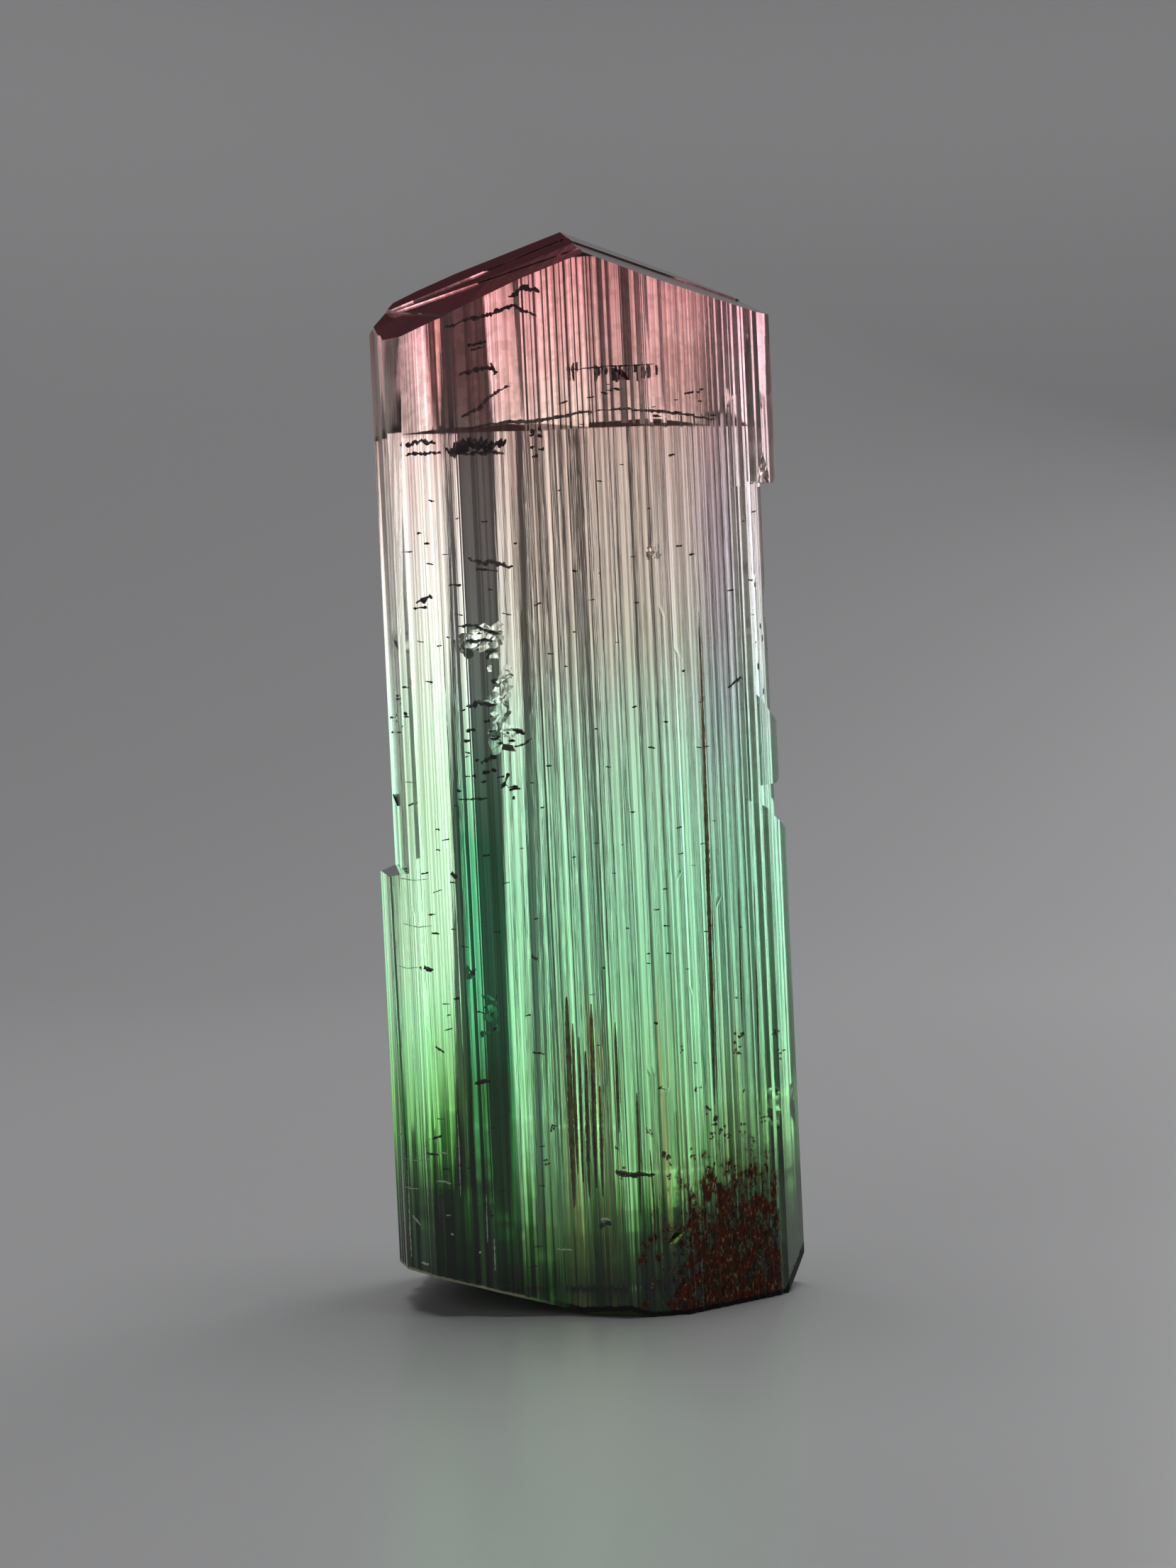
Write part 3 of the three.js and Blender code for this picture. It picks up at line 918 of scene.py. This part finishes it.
# Small marks near the front: how many, the region in the photograph's pixels, the least and most length
# and thickness there, and whether they are upright, along the striae.
MARKS = [
    (15, (833, 508, 925, 516), (14, 30), (2.5, 4), True),
    (4, (798, 506, 818, 520), (16, 34), (2.5, 4), True),
    (8, (745, 600, 760, 650), (6, 12), (4, 7), False),
    (22, (640, 1000, 725, 1130), (5, 20), (3, 6), False),
    (12, (550, 980, 570, 1040), (5, 12), (3, 7), False),
    (54, (565, 700, 760, 1500), (6, 18), (1.5, 3.5), False),
    (62, (760, 640, 1060, 1500), (5, 12), (1.5, 3.5), False),
    (16, (780, 540, 1000, 600), (6, 18), (2, 4), False),
    (14, (590, 1560, 760, 1800), (8, 24), (2, 4), False),
    (8, (1062, 760, 1082, 1130), (6, 14), (3, 5), True),
]

# A mark reaches in by its length there over this, in millimetres.
MARK_PIXELS_PER_MM_DEEP = 28

# Rust in the grooves between the striae, as lines in the photograph's pixels, with their thickness
# there and their depth in millimetres.
RUST_LINES = [
    ([(799, 1405), (803, 1500), (806, 1600), (811, 1706)], 9, 0.25),
    ([(808, 1440), (812, 1560), (816, 1660)], 6, 0.2),
    ([(817, 1460), (820, 1560), (823, 1670)], 5, 0.2),
    ([(826, 1480), (829, 1580), (832, 1690)], 7, 0.2),
    ([(834, 1415), (838, 1540), (842, 1680)], 8, 0.2),
    ([(846, 1530), (849, 1610), (851, 1690)], 6, 0.2),
    ([(868, 1440), (872, 1540), (874, 1600)], 5, 0.2),
    ([(898, 1540), (901, 1620), (903, 1720)], 5, 0.2),
    ([(985, 860), (990, 1000), (997, 1200), (1003, 1400), (1008, 1560)], 8, 0.2),
    ([(1001, 1190), (1007, 1400), (1011, 1550)], 3, 0.2),
    ([(1041, 1250), (1044, 1380), (1047, 1480)], 3, 0.2),
    ([(1063, 1240), (1067, 1400), (1071, 1560)], 3, 0.2),
    ([(868, 1650), (880, 1655), (900, 1656), (928, 1658)], 6, 0.3),
    ([(916, 1620), (922, 1700), (924, 1780)], 4, 0.2),
    ([(971, 1680), (974, 1740), (976, 1790)], 4, 0.2),
]

# Rust specks: place and width in the photograph's pixels, and how many small marks make up each.
RUST_SPECKS = [
    (1041, 1468, 13), (1037, 1482, 9), (1092, 1455, 9), (1099, 1488, 10), (958, 1481, 7), (982, 1535, 8),
    (931, 1530, 8), (779, 1593, 9), (770, 1640, 7), (998, 1566, 10), (1010, 1578, 14), (1016, 1592, 12),
    (1046, 1590, 10), (1074, 1576, 9), (1084, 1572, 7), (934, 1628, 13), (942, 1636, 9), (974, 1628, 9),
    (878, 1654, 11), (944, 1663, 8), (1004, 1600, 9), (1028, 1606, 8), (1060, 1610, 8), (1086, 1626, 7),
    (940, 1728, 9), (962, 1760, 9), (918, 1600, 5), (1050, 1540, 6), (913, 1595, 6), (870, 1620, 5),
]
MARKS_PER_SPECK = 5
SPECK_DEPTH = 0.15

# Pale scratches and worn edges on the surface near the foot, as lines in the photograph's pixels, with
# their thickness there.
SCRATCHES = [
    ([(613, 1666), (626, 1667), (639, 1670)], 3),
    ([(619, 1626), (633, 1627)], 2.5),
    ([(565, 1634), (590, 1637), (613, 1635)], 1.5),
    ([(592, 1614), (600, 1617), (607, 1621)], 1.5),
    ([(570, 1674), (580, 1676), (594, 1678)], 2),
    ([(562, 1600), (569, 1602)], 4),
    ([(571, 1717), (573, 1725)], 6),
    ([(581, 1713), (588, 1720), (595, 1731)], 4),
    ([(628, 1714), (638, 1714)], 2),
    ([(635, 1742), (641, 1741)], 3),
    ([(594, 1778), (600, 1783), (607, 1784)], 7),
    ([(783, 1761), (797, 1763), (810, 1764)], 3),
    ([(675, 1766), (680, 1766)], 3),
    ([(845, 1721), (855, 1718), (863, 1721)], 4),
    ([(697, 1745), (698, 1770), (699, 1795)], 2),
    ([(686, 1682), (687, 1720), (688, 1755)], 2),
    ([(575, 1620), (577, 1680), (579, 1740), (581, 1775)], 3),
    ([(601, 1622), (603, 1655), (605, 1690)], 1.5),
    ([(645, 1570), (648, 1630), (650, 1690)], 2),
    ([(560, 1362), (574, 1366), (592, 1364)], 1.5),
    ([(566, 1302), (590, 1308), (612, 1305)], 1.5),
    ([(560, 1238), (582, 1242), (606, 1240)], 1.5),
]

# How deep scratches go and how far they stand proud of the surface, in millimetres.
SCRATCH_DEPTH = 0.05
SCRATCH_PROUD = 0.02

# How flakes that catch the light are turned, in radians: back from upright, and round the long axis.
# Most spread by little round that, and the rest stray by more. Depths and thickness are millimetres.
FLAKE_NOD = -0.105
FLAKE_SWING = -0.10
FLAKES_TURNED = 0.75
FLAKE_SPREAD = 0.06
FLAKE_STRAY = 0.9
FLAKE_DEPTHS = (0.3, 1.2)
FLAKE_THICKNESS = 0.006

# Veils of bright flakes: how many, the region in the photograph's pixels, and their size in millimetres.
VEILS = [
    (34, (648, 880, 706, 925), (0.08, 0.36)),
    (44, (688, 935, 722, 1060), (0.06, 0.30)),
    (8, (658, 1366, 672, 1380), (0.10, 0.25)),
    (12, (686, 1398, 700, 1460), (0.08, 0.25)),
    (5, (912, 773, 928, 786), (0.15, 0.35)),
]


def on_front(shape, pixel_x, pixel_y, deep):
    """The point under a pixel of the photograph, so many millimetres inside the near surface."""
    aside = (pixel_x - PHOTO_WIDTH / 2) / FOCAL_PIXELS
    upward = (PHOTO_HEIGHT / 2 - pixel_y) / FOCAL_PIXELS
    hit = shape.ray_cast(Vector(CAMERA_PLACE) * MM, Vector((aside, 1, upward)).normalized())[0]
    if hit is None:
        return None
    return hit / MM + Vector((0, deep, 0))


def along(points, share):
    """A place along a line of points, by its share of the number of stretches."""
    at = min(share * (len(points) - 1), len(points) - 1.001)
    i = int(at)
    start, end = Vector(points[i]), Vector(points[i + 1])
    return start.lerp(end, at - i)


def blade(made, shape, ends, thick, deep, chance, start=0.07, even=0.0):
    """One crack: a thin lens that starts so far inside the near surface and reaches in. Its thickness
    varies most where even is 0 and least where it is 1."""
    pixels_per_mm = FOCAL_PIXELS / -CAMERA_PLACE[1]
    length = sum((Vector(b) - Vector(a)).length for a, b in zip(ends, ends[1:]))
    count = max(6, int(length / 2.5))
    lean = chance.uniform(-0.08, 0.08)
    rows = []
    wander = 0.0
    for i in range(1, count):
        share = i / count
        wander = 0.7 * wander + chance.uniform(-1, 1) * thick * 0.2
        spot = along(ends, share) + Vector((0, wander))
        outer = on_front(shape, spot.x, spot.y, start)
        if outer is None:
            continue
        run = along(ends, min(share + 0.05, 1)) - along(ends, max(share - 0.05, 0))
        aside = Vector((run.y, 0, run.x)).normalized()
        tilt = (outer.z - CAMERA_PLACE[2]) / -CAMERA_PLACE[1] / CRYSTAL_IOR + lean
        ragged = chance.uniform(0.3, 1.2)
        swell = math.sin(math.pi * share) ** 0.4 * (ragged + (0.9 - ragged) * even)
        half = 0.5 * thick / pixels_per_mm * swell
        reach = deep * math.sin(math.pi * share) ** 0.5 * chance.uniform(0.75, 1.0)
        inner = outer + Vector((0, reach, reach * tilt))
        middle = outer.lerp(inner, 0.35)
        rows.append([outer, middle + aside * half, inner, middle - aside * half])
    if len(rows) < 2:
        return
    skin(made, [[made.verts.new(p * MM) for p in row] for row in rows])


def marks_of(made, name):
    """An object of the cracks or marks in a bmesh."""
    bmesh.ops.recalc_face_normals(made, faces=made.faces)
    return object_of(made, name)


def cracks(shape):
    """The dark cracks and small marks inside the crystal, as one mesh."""
    chance = random.Random(5)
    made = bmesh.new()
    for ends, thick, deep in CRACKS:
        blade(made, shape, ends, thick, deep, chance)
    for count, (left, top, right, bottom), lengths, thicknesses, upright in MARKS:
        for i in range(count):
            x = chance.uniform(left, right)
            if upright:
                x = left + (right - left) * (i + chance.uniform(0.2, 0.8)) / count
            y = chance.uniform(top, bottom)
            length = chance.uniform(*lengths)
            thick = chance.uniform(*thicknesses)
            if upright:
                ends = [(x, y), (x + length * 0.04, y + length)]
            else:
                ends = [(x, y), (x + length, y + chance.uniform(-0.35, 0.2) * length)]
            blade(made, shape, ends, thick, length / MARK_PIXELS_PER_MM_DEEP, chance)
    return marks_of(made, "cracks")


def rust_marks(shape):
    """Rust in the grooves and in small pits, as one mesh."""
    chance = random.Random(7)
    made = bmesh.new()
    for ends, thick, deep in RUST_LINES:
        blade(made, shape, ends, thick, deep, chance, even=0.75)
    for x, y, width in RUST_SPECKS:
        for _ in range(MARKS_PER_SPECK):
            left = x + chance.uniform(-0.6, 0.4) * width
            top = y + chance.uniform(-0.7, 0.7) * width
            right = left + width * chance.uniform(0.3, 0.7)
            ends = [(left, top), (right, top + width * chance.uniform(-0.4, 0.4))]
            blade(made, shape, ends, width * chance.uniform(0.3, 0.6), SPECK_DEPTH, chance)
    return marks_of(made, "rust")


def scratches(shape):
    """Pale scratches on the near surface, as one mesh."""
    chance = random.Random(13)
    made = bmesh.new()
    for ends, thick in SCRATCHES:
        blade(made, shape, ends, thick, SCRATCH_DEPTH, chance, start=-SCRATCH_PROUD)
    return marks_of(made, "scratches")


def veils(shape):
    """Bright flakes of the healed breaks, as one mesh. Most are turned to the light, and some are not."""
    chance = random.Random(9)
    made = bmesh.new()
    for count, (left, top, right, bottom), sizes in VEILS:
        for _ in range(count):
            x = chance.uniform(left, right)
            y = chance.uniform(top, bottom)
            spot = on_front(shape, x, y, chance.uniform(*FLAKE_DEPTHS))
            size = chance.uniform(*sizes)
            spread = FLAKE_SPREAD if chance.random() < FLAKES_TURNED else FLAKE_STRAY
            nod = FLAKE_NOD + chance.uniform(-spread, spread)
            swing = FLAKE_SWING + chance.uniform(-spread, spread)
            turn = Matrix.Rotation(swing, 4, "Z") @ Matrix.Rotation(nod, 4, "X")
            turn = turn @ Matrix.Rotation(chance.uniform(0, math.pi), 4, "Y")
            flake = bmesh.ops.create_icosphere(made, subdivisions=1, radius=1)
            flat = Matrix.Diagonal((size, FLAKE_THICKNESS, size * chance.uniform(0.3, 1.3), 1))
            for vert in flake["verts"]:
                vert.co += Vector([chance.uniform(-0.45, 0.45) for _ in range(3)])
            bmesh.ops.transform(made, matrix=Matrix.Translation(spot) @ turn @ flat, verts=flake["verts"])
    bmesh.ops.transform(made, matrix=Matrix.Scale(MM, 4), verts=made.verts)
    return object_of(made, "veils")


# The stage: a pale floor that curves up into a backdrop all the way round.
FLOOR_RADIUS = 230.0
WALL_RADIUS = 400.0
WALL_HEIGHT = 190.0
FLOOR_DROP = 0.03
FLOOR_PARTS = 4
CURVE_PARTS = 24
STAGE_TURNS = 96
FLOOR_GREY = (0.62, 0.62, 0.63, 1)


def stage():
    """The floor and backdrop as one bowl of revolution."""
    profile = [(0.0, 0.0)]
    profile += [(FLOOR_RADIUS * i / FLOOR_PARTS, 0.0) for i in range(1, FLOOR_PARTS + 1)]
    for i in range(1, CURVE_PARTS + 1):
        turn = math.radians(90 * i / CURVE_PARTS)
        across = FLOOR_RADIUS + (WALL_RADIUS - FLOOR_RADIUS) * math.sin(turn)
        profile.append((across, WALL_HEIGHT * (1 - math.cos(turn))))
    made = bmesh.new()
    rows = []
    for radius, height in profile:
        row = [spot_at(360 * k / STAGE_TURNS, radius, height - FLOOR_DROP) for k in range(STAGE_TURNS)]
        rows.append([made.verts.new(spot * MM) for spot in row])
    for inner, outer in zip(rows, rows[1:]):
        for k in range(STAGE_TURNS):
            m = (k + 1) % STAGE_TURNS
            made.faces.new((inner[k], outer[k], outer[m], inner[m]))
    bmesh.ops.remove_doubles(made, verts=made.verts, dist=1e-6)
    bmesh.ops.recalc_face_normals(made, faces=made.faces)
    for face in made.faces:
        face.smooth = True
    floor = object_of(made, "floor")
    material, tree, shader = new_material("floor_pale")
    feed(tree, shader.inputs["Base Color"], FLOOR_GREY)
    feed(tree, shader.inputs["Roughness"], 0.35)
    floor.data.materials.append(material)


# Soft studio lights: azimuth, distance from the axis, height, size and brightness.
LIGHTS = [
    {"name": "behind_right", "azimuth": 60, "distance": 320, "height": 170, "size": 130, "bright": 3.0},
    {"name": "front_left", "azimuth": 235, "distance": 330, "height": 170, "size": 140, "bright": 1.2},
    {"name": "above", "azimuth": 90, "distance": 30, "height": 380, "size": 260, "bright": 2.6},
]
LIGHTS_AIM = (0, 0, 25)

# Glowing panels round the crystal that are seen only through it: azimuth, half width in degrees, distance
# from the axis and brightness. They stand on the floor unless low gives another height for their lower
# edge, and are white unless a colour is given.
PANELS = [
    {"azimuth": 46.5, "half": 10.5, "distance": 92, "bright": 1.8},
    {"azimuth": 70.75, "half": 12.75, "distance": 92, "bright": 2.2},
    {"azimuth": 84.75, "half": 1.25, "distance": 92, "bright": 1.2},
    {"azimuth": 110, "half": 7, "distance": 46, "bright": 1.65},
    {"azimuth": 120, "half": 3, "distance": 46, "bright": 1.7},
    {"azimuth": 132, "half": 8, "distance": 60, "bright": 2.6, "colour": (0.87, 0.87, 1.0)},
    {"azimuth": 240, "half": 6, "distance": 70, "low": 42, "bright": 3.0},
    {"azimuth": 205, "half": 9, "distance": 80, "bright": 0.7},
    {"azimuth": 244, "half": 10, "distance": 80, "bright": 0.5},
    {"azimuth": 295, "half": 10, "distance": 80, "bright": 0.5},
    {"azimuth": 333, "half": 9, "distance": 80, "bright": 0.6},
    {"azimuth": 20, "half": 9, "distance": 80, "bright": 0.7},
]

# Strips of light on the floor below the main panels, in steps that fade towards the crystal.
FLOOR_STRIPS = [
    {"azimuth": 46, "half": 10, "from": 40, "to": 92, "steps": 4, "bright": 1.5},
    {"azimuth": 66, "half": 11, "from": 16, "to": 92, "steps": 6, "bright": 1.9},
    {"azimuth": 110, "half": 10, "from": 16, "to": 46, "steps": 4, "bright": 1.7},
    {"azimuth": 134, "half": 11, "from": 20, "to": 60, "steps": 4, "bright": 1.8},
    {"azimuth": 176, "half": 22, "from": 20, "to": 46, "steps": 1, "bright": 1.5},
]

PANEL_HEIGHT = 90.0
STRIP_HEIGHT = 0.2
STRIP_FADE = 1.5


def area_light(name, place, size, bright, aim):
    """A flat soft light of a given brightness, turned towards a point."""
    data = bpy.data.lights.new(name, "AREA")
    data.shape = "RECTANGLE"
    data.size = size[0] * MM
    data.size_y = size[1] * MM
    data.energy = bright * math.pi * data.size * data.size_y
    lamp = bpy.data.objects.new(name, data)
    lamp.location = place * MM
    lamp.rotation_mode = "QUATERNION"
    lamp.rotation_quaternion = (aim - place).to_track_quat("-Z", "Y")
    lamp.visible_camera = False
    bpy.context.scene.collection.objects.link(lamp)
    return lamp


def glow(name, place, half, depth, bright, aim):
    """A light that is seen only through the crystal, so many degrees wide to either side."""
    width = 2 * place.xy.length * math.tan(math.radians(half))
    lamp = area_light(name, place, (width, depth), bright, aim)
    lamp.visible_diffuse = False
    lamp.visible_glossy = False
    return lamp


def lights():
    """The studio lights, and the panels and strips that are seen only through the crystal."""
    for light in LIGHTS:
        place = spot_at(light["azimuth"], light["distance"], light["height"])
        area_light(light["name"], place, (light["size"], light["size"]), light["bright"], Vector(LIGHTS_AIM))
    for panel in PANELS:
        low = panel.get("low", 0)
        place = spot_at(panel["azimuth"], panel["distance"], (low + PANEL_HEIGHT) / 2)
        aim = Vector((0, 0, place.z))
        lamp = glow("panel", place, panel["half"], PANEL_HEIGHT - low, panel["bright"], aim)
        lamp.data.color = panel.get("colour", (1, 1, 1))
    for strip in FLOOR_STRIPS:
        depth = (strip["to"] - strip["from"]) / strip["steps"]
        turn = Matrix.Rotation(math.radians(strip["azimuth"] - 90), 4, "Z")
        for i in range(strip["steps"]):
            place = spot_at(strip["azimuth"], strip["from"] + depth * (i + 0.5), STRIP_HEIGHT)
            bright = strip["bright"] * min(1, STRIP_FADE * (i + 0.5) / strip["steps"])
            lamp = glow("strip", place, strip["half"], depth, bright, place + Vector((0, 0, 1)))
            lamp.rotation_quaternion = (turn @ Matrix.Rotation(math.pi, 4, "X")).to_quaternion()


def camera():
    """The camera at the photograph's place and angle."""
    data = bpy.data.cameras.new("camera")
    data.sensor_fit = "AUTO"
    data.sensor_width = SENSOR_LONG_SIDE
    data.lens = SENSOR_LONG_SIDE * FOCAL_PIXELS / PHOTO_HEIGHT
    data.clip_start = 0.005
    data.clip_end = 5.0
    cam = bpy.data.objects.new("camera", data)
    cam.location = Vector(CAMERA_PLACE) * MM
    cam.rotation_euler = (math.radians(90), 0, 0)
    bpy.context.scene.collection.objects.link(cam)
    bpy.context.scene.camera = cam


def world():
    """The darker room above the backdrop."""
    sky = bpy.data.worlds.new("room")
    sky.use_nodes = True
    background = sky.node_tree.nodes["Background"]
    background.inputs["Color"].default_value = (0.2, 0.21, 0.23, 1)
    background.inputs["Strength"].default_value = 0.1
    bpy.context.scene.world = sky
    bpy.context.scene.view_settings.view_transform = "Standard"


camera()
world()
lights()
stage()
clear = crystal()
clear.data.materials.append(tourmaline())
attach(clear, "root")
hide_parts("crystal")

corners = [vertex.co for vertex in clear.data.vertices]
near_surface = BVHTree.FromPolygons(corners, [face.vertices[:] for face in clear.data.polygons])
for piece, look in (
    (cracks(near_surface), crack_dark()),
    (rust_marks(near_surface), rust_brown()),
    (veils(near_surface), flake_bright()),
    (scratches(near_surface), scratch_pale()),
):
    piece.data.materials.append(look)
    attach(piece, "root")

cycles = bpy.context.scene.cycles
cycles.max_bounces = 32
cycles.transmission_bounces = 32
cycles.glossy_bounces = 8
cycles.diffuse_bounces = 3
